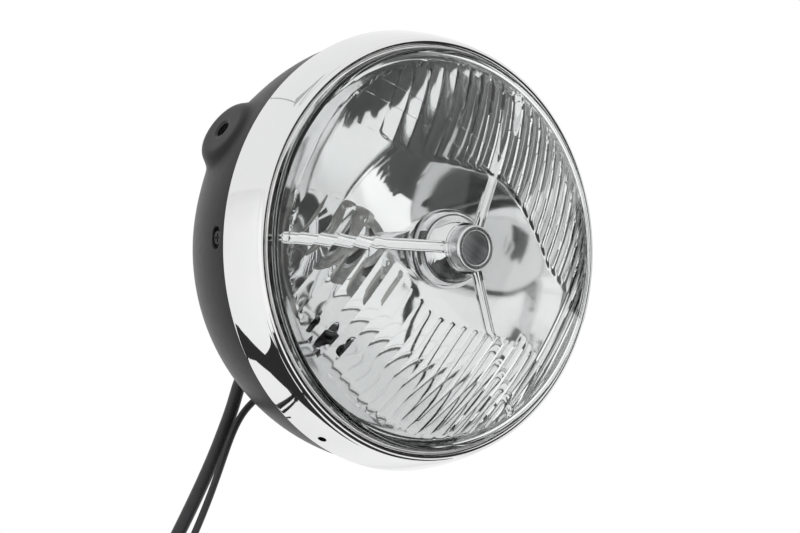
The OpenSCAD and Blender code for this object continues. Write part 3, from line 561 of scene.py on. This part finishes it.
def build_lens(values):
    """The glass: a plain dome outside, and inside it a grid of flutes that a plain skirt carries."""
    edge = 72.0
    plain = np.arange(-edge, edge + 0.01, 0.75)
    ends = FLUTED_R * np.sin(np.radians(np.arange(67.0, 89.9, 1.0)))
    x = np.concatenate([[-FLUTED_R], -ends[::-1], plain, ends, [FLUTED_R]])
    height = np.sqrt(np.maximum(FLUTED_R ** 2 - x ** 2, 0))
    marks = [row[0] for row in FLUTE_ROWS[:-1]]
    z = np.unique(np.concatenate([np.arange(-78, 78.1, 3.0), np.arange(-37.5, 35.1, 0.75)]
                                 + [[m - 0.06, m + 0.06] for m in marks] + [[-FLUTED_R, FLUTED_R]]))
    grid_z = np.clip(z[:, None], -height[None, :], height[None, :])
    grid_x = x[None, :] + 0 * grid_z
    in_r = DOME_R - GLASS_WALL
    centre = DOME_TOP - DOME_R
    radius = np.hypot(grid_x, grid_z)
    fade = np.clip((FLUTED_R - radius) / 1.2, 0, 1)
    depth = flute_depth(grid_x, z[:, None] + 0 * grid_x, values.flute_pitch)
    station = centre + np.sqrt(in_r ** 2 - radius ** 2) - depth * fade
    verts = np.stack([grid_x, -station - SETBACK, grid_z], -1).reshape(-1, 3) * MM
    faces = grid_faces(len(z), len(x), False, False)
    top = np.stack([x, height], -1)
    rim_points = np.concatenate([top, np.stack([x[1:-1], -height[1:-1]], -1)[::-1]])
    turn = np.arctan2(rim_points[:, 1], rim_points[:, 0])
    corner = 2.0
    shoulder = LENS_SKIRT - corner
    radii = np.concatenate([[0.05], np.linspace(3, shoulder, 34)])
    outer = [(float(r), centre + math.sqrt(DOME_R ** 2 - r * r)) for r in radii]
    rounding = arc((shoulder, 4.0 - corner), corner, 72, 0, 7)
    inner_r = LENS_SKIRT - GLASS_WALL
    flange = [(LENS_SKIRT, -3.0), (LENS_SKIRT + 0.3, -3.4), (LENS_R - 0.3, -3.4), (LENS_R, -3.7),
              (LENS_R, LENS_BACK + 0.36), (LENS_R - 0.3, LENS_BACK + 0.06), (inner_r, LENS_BACK + 0.06)]
    inner = [(float(r), centre + math.sqrt(in_r ** 2 - r * r)) for r in (inner_r, 81.4, 80.2, FLUTED_R)]
    fillet = [(inner_r, inner[0][1] - 0.8), (inner_r - 0.25, inner[0][1] - 0.2)]
    profile = np.array(outer + rounding + flange + fillet + inner[1:])
    body = on_axis(profile[:, 0][:, None], turn[None, :], profile[:, 1][:, None]).reshape(-1, 3)
    faces += grid_faces(len(profile), len(turn), False, True, first=len(verts))
    faces.append([len(verts) + k for k in range(len(turn))])
    points = np.concatenate([verts, body])
    add_object("Lens_Fluted_Glass", points, clean_faces(points, faces), MATERIALS["lens_glass"],
               "lens", angle=18)


def build_seal(values):
    """The rubber seal that fills the gap between the glass and the rim's lip; its pale colour is a painted
    highlight that stands in for the bright band of light along the glass's edge.
    """
    skirt = LENS_SKIRT + 0.06
    lip = [(skirt, -2.85), (skirt, -0.75), (skirt + 0.1, -0.55), (skirt + 0.3, -0.45), (skirt + 0.55, -0.55),
           (skirt + 0.66, -0.75)]
    foot = [(86.94, -1.9), (86.94, -2.7), (87.2, -3.0), (88.9, -3.0), (88.9, -3.3), (skirt + 0.3, -3.3)]
    turned_piece("Lens_Seal", lip + foot, MATERIALS["pale_rubber"], "lens_gasket")


def clean_faces(verts, faces):
    """Drops the corners of a face that lie on each other."""
    key = {}
    index = []
    for v in np.round(np.asarray(verts) * 1e7).astype(np.int64).tolist():
        index.append(key.setdefault(tuple(v), len(index)))
    out = []
    for face in faces:
        kept = []
        for k in face:
            if not kept or index[k] != kept[-1]:
                kept.append(index[k])
        if kept[0] == kept[-1]:
            kept = kept[:-1]
        if len(set(kept)) >= 3 and len(set(kept)) == len(kept):
            out.append(kept)
    return out


def build_reflector(values):
    """The mirror bowl, with its neck round the bulb and the side lamp's hole."""
    neck_in = BULB_NECK_R - 1.2
    neck_back = float(dish_station(0)) - 3.4
    radii = np.linspace(REFLECTOR_R, BULB_NECK_R, 40)
    dish = [(float(r), float(dish_station(r))) for r in radii]
    back = []
    for r in radii[1:-1][::-1]:
        k = r / (2 * FOCAL_LEN)
        h = math.hypot(1, k)
        back.append((float(r + k / h), float(dish_station(r)) - 1 / h))
    neck = [(neck_in, float(dish_station(BULB_NECK_R)) - 0.4), (neck_in, neck_back), (24, neck_back),
            (24, neck_back + 1), (BULB_NECK_R + 0.5, neck_back + 1)]
    profile = [(LENS_R, LENS_BACK)] + dish + neck + back + [(81, -9.4), (LENS_R, -9.4)]
    obj = turned_piece("Reflector_Bowl", profile, MATERIALS["mirror_coat"], "reflector",
                       angle=30)
    r = 45.0
    tilt = math.atan(r / (2 * FOCAL_LEN))
    inward = Vector((0, -math.cos(tilt), math.sin(tilt)))
    p = Vector((0, -float(dish_station(r)) - SETBACK, -r))
    cut(obj, [rod_shape(p - 8 * inward, p + 8 * inward, PILOT_HOLE_R)], angle=30)


def leg_station(r):
    """How far in front a leg's spine stands at a radius."""
    return HUB_FRONT - LEG_FALL * (np.clip(r, HUB_R, FOOT_R) - HUB_R) / (FOOT_R - HUB_R)


def build_tri_bar(values):
    """Three channel legs that taper to the middle, and the disc that joins them."""
    verts, faces = [], []
    radii = np.concatenate([[8], np.linspace(12, 79.2, 12), [80.1, 80.7, 80.9, 80.9, 80.9]])
    drops = np.concatenate([np.zeros(13), [0.15, 0.7, 1.8, 6, 9.5]])
    for angle in LEG_ANGLES:
        turn = math.radians(angle)
        out = np.array([math.cos(turn), 0, math.sin(turn)])
        across = np.array([-math.sin(turn), 0, math.cos(turn)])
        first = len(verts)
        for r, drop in zip(radii, drops):
            half = values.leg_width / 2 if drop < 0.5 else 1.2
            slope = math.atan(LEG_FALL / (FOOT_R - HUB_R)) + (math.radians(40) if drop > 0.5 else 0)
            if drop > 1.5:
                slope = math.pi / 2
            up = math.cos(slope) * np.array([0, -1, 0]) + math.sin(slope) * out
            wall = 0.75 if r > 10 else 0.1
            edge = [(-half, -0.5), (-half, wall - 0.25), (-half + 0.25, wall), (-half + 0.6, wall),
                    (-half + 0.8, wall - 0.3), (-half + 0.95, -0.2), (-half + 1.2, -0.4)]
            section = edge + [(-u, v) for u, v in reversed(edge)]
            section += [(half - 0.6, -1.05), (-half + 0.6, -1.05)]
            base = out * r + np.array([0, -(float(leg_station(r)) - drop) - SETBACK, 0])
            verts += [tuple((base + across * u + up * v) * MM) for u, v in section]
        n, rings = len(section), len(radii)
        faces += grid_faces(rings, n, False, True, first)
        faces.append([first + k for k in range(n)][::-1])
        faces.append([first + (rings - 1) * n + k for k in range(n)])
    add_object("Tri_Bar", verts, faces, MATERIALS["rim_chrome"], "tri_bar", angle=40)
    hub = [(0.05, HUB_BACK), (HUB_R - 0.25, HUB_BACK), (HUB_R, HUB_BACK + 0.2), (HUB_R, HUB_FRONT - 0.2),
           (HUB_R - 0.25, HUB_FRONT), (0.05, HUB_FRONT)]
    turned_piece("Tri_Bar_Hub", hub, MATERIALS["rim_chrome"], None, steps=128)


def build_shield(values):
    """The chrome ball over the bulb, open at its rear, with a rolled edge."""
    r, neck, wall, mouth = 17.0, HUB_R, 0.8, 41
    face = math.degrees(math.asin(neck / r))
    middle = HUB_BACK - math.sqrt(r * r - neck * neck)
    outer = arc((0, middle), r, 90 - face, -mouth, 44)
    inner = arc((0, middle), r - wall, -mouth, 90 - face, 40)
    edge = math.radians(-mouth)
    roll = ((r - wall / 2) * math.cos(edge), middle + (r - wall / 2) * math.sin(edge))
    rounded = arc(roll, wall / 2, -mouth - 10, -mouth - 170, 6)
    profile = [(0.05, HUB_BACK)] + outer + rounded + inner + [(0.05, HUB_BACK - wall)]
    turned_piece("Bulb_Shield", profile, MATERIALS["rim_chrome"], "bulb_shield", 160, 40)


def build_medallion(values):
    """The ring in front of the hub and the bare disc in it."""
    back, front, r, disc = HUB_FRONT, 25.1, 9.75, 6.9
    low, top = front - 1.5, front - 0.5
    bezel = [(0.05, back), (r - 0.3, back), (r, back + 0.3), (r, front - 1.4)]
    bezel += arc((r - 1.1, front - 1.1), 1.1, 0, 90, 8) + arc((disc + 0.6, top), 0.5, 90, 180, 5)
    bezel += [(disc + 0.1, low), (0.05, low)]
    turned_piece("Medallion_Bezel", bezel, MATERIALS["satin_chrome"], "medallion_bezel",
                 160, 40)
    face = [(0.05, low), (disc, low), (disc, top - 0.2), (disc - 0.08, top - 0.08), (disc - 0.25, top),
            (0.05, top + 0.02)]
    turned_piece("Medallion_Disc", face, MATERIALS["dark_disc"], "medallion_disc", 128, 40)


def build_inserts(values):
    """The flanged inserts in the side bosses, with the grooves of their threads."""
    steps = 96
    turn = np.linspace(0, 2 * math.pi, steps, endpoint=False)
    profile = [(3.4, 80), (5.0, 80), (5.0, 94.0), (5.85, 94.0), (6, 94.15), (6, 94.4), (5.8, 94.6),
               (4.3, 94.6), (4.05, 94.5), (3.4, 93.8)]
    for k in range(16):
        s = 93.4 - 0.8 * k
        profile += [(3.4, s), (3.75, s - 0.25), (3.75, s - 0.4), (3.4, s - 0.65)]
    p = np.array(profile)
    r, x = p[:, 0][:, None], p[:, 1][:, None]
    for side, name, node in ((-1, "Left", "left_mount_insert"), (1, "Right", "right_mount_insert")):
        verts = np.stack([side * (x + 0 * turn), r * np.cos(turn), r * np.sin(turn)], -1) * MM
        add_object("Mount_Insert_" + name, verts, grid_faces(len(p), steps), MATERIALS["dark_steel"],
                   node, angle=40)


def build_cords(values):
    """The two hanging cords, each one smooth curve that ends in its connector."""
    for name, route, d, node, exit_at, proud, plug in (
            ("Main_Cord", MAIN_ROUTE, MAIN_D, "main_cord", MAIN_EXIT, MAIN_PROUD, "main_connector"),
            ("Pilot_Cord", PILOT_ROUTE, LEAD_D, "pilot_cord", LEAD_EXIT, LEAD_PROUD, "pilot_connector")):
        start = exit_point(*exit_at) + proud * exit_direction(*exit_at)
        path = (smooth_route(route, 6) + np.array(start)) * MM
        curve = bpy.data.curves.new(name, "CURVE")
        curve.dimensions = "3D"
        curve.bevel_depth = d / 2 * MM
        curve.bevel_resolution = 8
        curve.use_fill_caps = True
        curve.materials.append(MATERIALS["black_plastic"])
        line = curve.splines.new("POLY")
        line.points.add(len(path) - 1)
        for point, place in zip(line.points, path):
            point.co = (*place, 1)
        line.use_smooth = True
        obj = bpy.data.objects.new(name, curve)
        bpy.context.scene.collection.objects.link(obj)
        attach(obj, "root")
        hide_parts(node)


def dress_nodes(values):
    """Gives each solid that stays in sight its finish."""
    slots = {part["node"]: part["material_slot"] for part in frame["record"]["subparts"]}
    for name, obj in NODES.items():
        obj.data.materials.clear()
        obj.data.materials.append(MATERIALS["dark_steel" if name == "rim_screws" else slots[name]])


# Dark cards that the chrome and the reflector show, with their corners in metres
LOW = -0.355
CARDS = {
    "Card_Strip": [(0, 0.09, LOW), (-0.05, 0.12, LOW), (-0.08, 0.16, LOW), (-0.08, 0.42, LOW),
                   (-0.19, 0.42, LOW), (-0.19, 0.28, LOW), (-0.18, 0.21, LOW), (-0.15, 0.16, LOW),
                   (-0.1, 0.1, LOW)],
    "Card_Front": [(-0.1, 0.1, LOW), (-0.17, -0.06, LOW), (-0.14, -0.3, LOW), (-0.18, -0.55, LOW),
                   (0.5, -0.55, LOW), (1.2, -0.4, LOW), (1.2, 0.05, LOW), (0.1, 0.06, LOW), (0, 0.09, LOW)],
    "Card_Right": [(0.4, -1.13, -0.03), (0.89, -0.8, -0.03), (0.89, -0.8, 1), (0.4, -1.13, 1)],
    "Card_Side": [(1.15, 0, 0.5), (1.07, 0.43, 0.5), (1.07, 0.43, 0.95), (1.15, 0, 0.95)],
}
GREY_CARDS = {
    "Card_Streak": [(-1.5, -0.1, 2.2), (-1.5, 0.25, 2.2), (-1.5, 0.75, 1.1), (-1.5, 0.5, 0.9)],
    "Card_Seam": [(-1.5, 0.6, 0.985), (-1.5, 2.3, 1.5), (-1.5, 2.3, 1.53), (-1.5, 0.6, 1.005)],
}


def stage_plane(name, corners, material):
    """A flat piece of the stage."""
    mesh = bpy.data.meshes.new(name)
    mesh.from_pydata(corners, [], [tuple(range(len(corners)))])
    mesh.materials.append(material)
    obj = bpy.data.objects.new(name, mesh)
    bpy.context.scene.collection.objects.link(obj)
    return obj


def matte(name, first, second, scale):
    """A dull surface with slight changes of tone."""
    material, shader = make_material(name, Roughness=0.9)
    tone = two_colours(material, surface_noise(material, scale, 2), first, second)
    link(material, tone, shader, "Base Color")
    return material


def place_camera(lens):
    """The photograph's camera."""
    data = bpy.data.cameras.new("Camera")
    data.sensor_width = 36
    data.lens = lens
    data.clip_start, data.clip_end = 0.01, 50
    camera = bpy.data.objects.new("Camera", data)
    bpy.context.scene.collection.objects.link(camera)
    turn = Matrix((CAMERA_RIGHT, CAMERA_UP, CAMERA_BACK)).transposed()
    camera.matrix_world = Matrix.Translation(CAMERA_PLACE) @ turn.to_4x4()
    bpy.context.scene.camera = camera


def light_world(fill_strength):
    """White where the camera, a mirror or clear glass sees it, and a fill light for matte surfaces."""
    world = bpy.data.worlds.new("World")
    bpy.context.scene.world = world
    world.use_nodes = True
    tree = world.node_tree
    seen = tree.nodes["Background"]
    fill = tree.nodes.new("ShaderNodeBackground")
    for background, strength in ((seen, 1.0), (fill, fill_strength)):
        background.inputs["Color"].default_value = (1, 1, 1, 1)
        background.inputs["Strength"].default_value = strength
    path = tree.nodes.new("ShaderNodeLightPath")
    ray = path.outputs["Is Camera Ray"]
    for other in ("Is Glossy Ray", "Is Transmission Ray"):
        either = tree.nodes.new("ShaderNodeMath")
        either.operation = "MAXIMUM"
        tree.links.new(ray, either.inputs[0])
        tree.links.new(path.outputs[other], either.inputs[1])
        ray = either.outputs[0]
    mix = tree.nodes.new("ShaderNodeMixShader")
    tree.links.new(ray, mix.inputs["Fac"])
    tree.links.new(fill.outputs[0], mix.inputs[1])
    tree.links.new(seen.outputs[0], mix.inputs[2])
    tree.links.new(mix.outputs[0], tree.nodes["World Output"].inputs["Surface"])


def add_lamp(name, place, size, power):
    """A square soft lamp that points at the headlight and shows in no reflection."""
    lamp = bpy.data.lights.new(name, "AREA")
    lamp.shape = "SQUARE"
    lamp.size = size
    lamp.energy = power
    obj = bpy.data.objects.new(name, lamp)
    bpy.context.scene.collection.objects.link(obj)
    obj.location = place
    obj.rotation_euler = (-Vector(place)).to_track_quat("-Z", "Y").to_euler()
    obj.visible_glossy = False
    obj.visible_transmission = False


def build_stage(values):
    """The camera, the world, the floor, the cards that the chrome shows, and the lamps."""
    bpy.context.scene.view_settings.view_transform = "Standard"
    place_camera(values.lens)
    light_world(values.fill)
    half, z = 3.0, -0.36
    corners = [(-half, -half, z), (half, -half, z), (half, half, z), (-half, half, z)]
    stage_plane("Floor", corners, matte("Pale floor", (0.88,) * 3, (0.9,) * 3, 3))
    dark = matte("Dark card", (0.012,) * 3, (0.012,) * 3, 2)
    grey = matte("Grey card", (0.42,) * 3, (0.5,) * 3, 2)
    for cards, material in ((CARDS, dark), (GREY_CARDS, grey)):
        for name, corners in cards.items():
            card = stage_plane(name, corners, material)
            card.visible_camera = False
            card.visible_shadow = False
            card.visible_diffuse = False
    add_lamp("Key", (-0.9, -1.2, 1.3), 1.2, values.key)
    add_lamp("Side", (1.4, -0.6, 0.6), 1.0, values.key * 0.4)


# The add-on's values, buttons and panel

class HEADLIGHT_PG_piece(bpy.types.PropertyGroup):
    paint: FloatVectorProperty(
        name="Bowl paint", description="Colour of the bowl's satin paint", subtype="COLOR",
        default=(0.0065, 0.0065, 0.007), min=0, max=1)
    chrome: FloatProperty(
        name="Chrome", description="Brightness of the rim's, tri-bar's and shield's chrome",
        subtype="FACTOR", default=0.755, min=0, max=1)
    disc: FloatVectorProperty(
        name="Medallion", description="Colour of the medallion's brushed disc", subtype="COLOR",
        default=(0.26, 0.26, 0.265), min=0, max=1)
    flute_pitch: FloatProperty(
        name="Flute pitch", description="Width of one flute of the glass in millimetres",
        default=6.0, min=2, max=20)
    leg_width: FloatProperty(
        name="Leg width", description="Width of a tri-bar leg in millimetres", default=5.0, min=3, max=12)


class HEADLIGHT_PG_stage(bpy.types.PropertyGroup):
    lens: FloatProperty(
        name="Camera lens", description="Focal length of the camera in millimetres", default=94.365, min=20)
    fill: FloatProperty(
        name="World light", description="How much light the world gives matte surfaces", default=1.0, min=0)
    key: FloatProperty(
        name="Key lamp", description="Power of the soft key lamp in watts", default=14.0, min=0, unit="POWER")


def ready_values(context):
    """The pieces' values, once the finishes are made from them."""
    values = context.scene.headlight_piece
    if not MATERIALS:
        make_materials(values)
    return values


class HEADLIGHT_OT_stage(bpy.types.Operator):
    """Sets up the camera, the lamps, the world, the floor and the cards"""
    bl_idname = "headlight.stage"
    bl_label = "Stage"

    def execute(self, context):
        build_stage(context.scene.headlight_stage)
        return {"FINISHED"}


class HEADLIGHT_OT_cords(bpy.types.Operator):
    """Makes the two hanging cords"""
    bl_idname = "headlight.cords"
    bl_label = "Cords"

    def execute(self, context):
        build_cords(ready_values(context))
        return {"FINISHED"}


class HEADLIGHT_OT_dress(bpy.types.Operator):
    """Gives the solids their finishes"""
    bl_idname = "headlight.dress"
    bl_label = "Solid finishes"

    def execute(self, context):
        dress_nodes(ready_values(context))
        return {"FINISHED"}


class HEADLIGHT_OT_bowl(bpy.types.Operator):
    """Makes the painted bowl"""
    bl_idname = "headlight.bowl"
    bl_label = "Bowl"

    def execute(self, context):
        build_shell(ready_values(context))
        return {"FINISHED"}


class HEADLIGHT_OT_rim(bpy.types.Operator):
    """Makes the chrome rim"""
    bl_idname = "headlight.rim"
    bl_label = "Rim"

    def execute(self, context):
        build_rim(ready_values(context))
        return {"FINISHED"}


class HEADLIGHT_OT_lens(bpy.types.Operator):
    """Makes the fluted glass"""
    bl_idname = "headlight.lens"
    bl_label = "Lens"

    def execute(self, context):
        build_lens(ready_values(context))
        return {"FINISHED"}


class HEADLIGHT_OT_seal(bpy.types.Operator):
    """Makes the seal round the glass, painted pale as a highlight of the glass's edge"""
    bl_idname = "headlight.seal"
    bl_label = "Lens seal"

    def execute(self, context):
        build_seal(ready_values(context))
        return {"FINISHED"}


class HEADLIGHT_OT_reflector(bpy.types.Operator):
    """Makes the mirror bowl"""
    bl_idname = "headlight.reflector"
    bl_label = "Reflector"

    def execute(self, context):
        build_reflector(ready_values(context))
        return {"FINISHED"}


class HEADLIGHT_OT_tri_bar(bpy.types.Operator):
    """Makes the three chrome legs"""
    bl_idname = "headlight.tri_bar"
    bl_label = "Tri-bar"

    def execute(self, context):
        build_tri_bar(ready_values(context))
        return {"FINISHED"}


class HEADLIGHT_OT_shield(bpy.types.Operator):
    """Makes the chrome cup over the bulb"""
    bl_idname = "headlight.shield"
    bl_label = "Bulb shield"

    def execute(self, context):
        build_shield(ready_values(context))
        return {"FINISHED"}


class HEADLIGHT_OT_medallion(bpy.types.Operator):
    """Makes the medallion and its bezel"""
    bl_idname = "headlight.medallion"
    bl_label = "Medallion"

    def execute(self, context):
        build_medallion(ready_values(context))
        return {"FINISHED"}


class HEADLIGHT_OT_inserts(bpy.types.Operator):
    """Makes the threaded inserts"""
    bl_idname = "headlight.inserts"
    bl_label = "Mount inserts"

    def execute(self, context):
        build_inserts(ready_values(context))
        return {"FINISHED"}


# In the order in which they run
OPERATORS = [
    HEADLIGHT_OT_stage,
    HEADLIGHT_OT_cords,
    HEADLIGHT_OT_dress,
    HEADLIGHT_OT_bowl,
    HEADLIGHT_OT_rim,
    HEADLIGHT_OT_lens,
    HEADLIGHT_OT_seal,
    HEADLIGHT_OT_reflector,
    HEADLIGHT_OT_tri_bar,
    HEADLIGHT_OT_shield,
    HEADLIGHT_OT_medallion,
    HEADLIGHT_OT_inserts,
]


class HEADLIGHT_PT_panel(bpy.types.Panel):
    """Lists the lamp's values and the steps that build it"""
    bl_idname = "HEADLIGHT_PT_panel"
    bl_label = "Headlight"
    bl_space_type = "VIEW_3D"
    bl_region_type = "UI"
    bl_category = "Headlight"

    def draw(self, context):
        for values in (context.scene.headlight_piece, context.scene.headlight_stage):
            for name in values.__annotations__:
                self.layout.prop(values, name)
        for operator in OPERATORS:
            self.layout.operator(operator.bl_idname)


CLASSES = [HEADLIGHT_PG_piece, HEADLIGHT_PG_stage] + OPERATORS + [HEADLIGHT_PT_panel]


def register():
    for cls in CLASSES:
        bpy.utils.register_class(cls)
    bpy.types.Scene.headlight_piece = PointerProperty(type=HEADLIGHT_PG_piece)
    bpy.types.Scene.headlight_stage = PointerProperty(type=HEADLIGHT_PG_stage)


def unregister():
    del bpy.types.Scene.headlight_stage
    del bpy.types.Scene.headlight_piece
    for cls in reversed(CLASSES):
        bpy.utils.unregister_class(cls)


def plain(box):
    """A box as plain lists of numbers."""
    return [[float(c) for c in corner] for corner in box]


def main():
    register()
    bpy.ops.headlight.stage()
    bpy.ops.headlight.cords()
    bpy.ops.headlight.dress()
    bpy.ops.headlight.bowl()
    bpy.ops.headlight.rim()
    bpy.ops.headlight.lens()
    bpy.ops.headlight.seal()
    bpy.ops.headlight.reflector()
    bpy.ops.headlight.tri_bar()
    bpy.ops.headlight.shield()
    bpy.ops.headlight.medallion()
    bpy.ops.headlight.inserts()


if __name__ == "__main__":
    main()
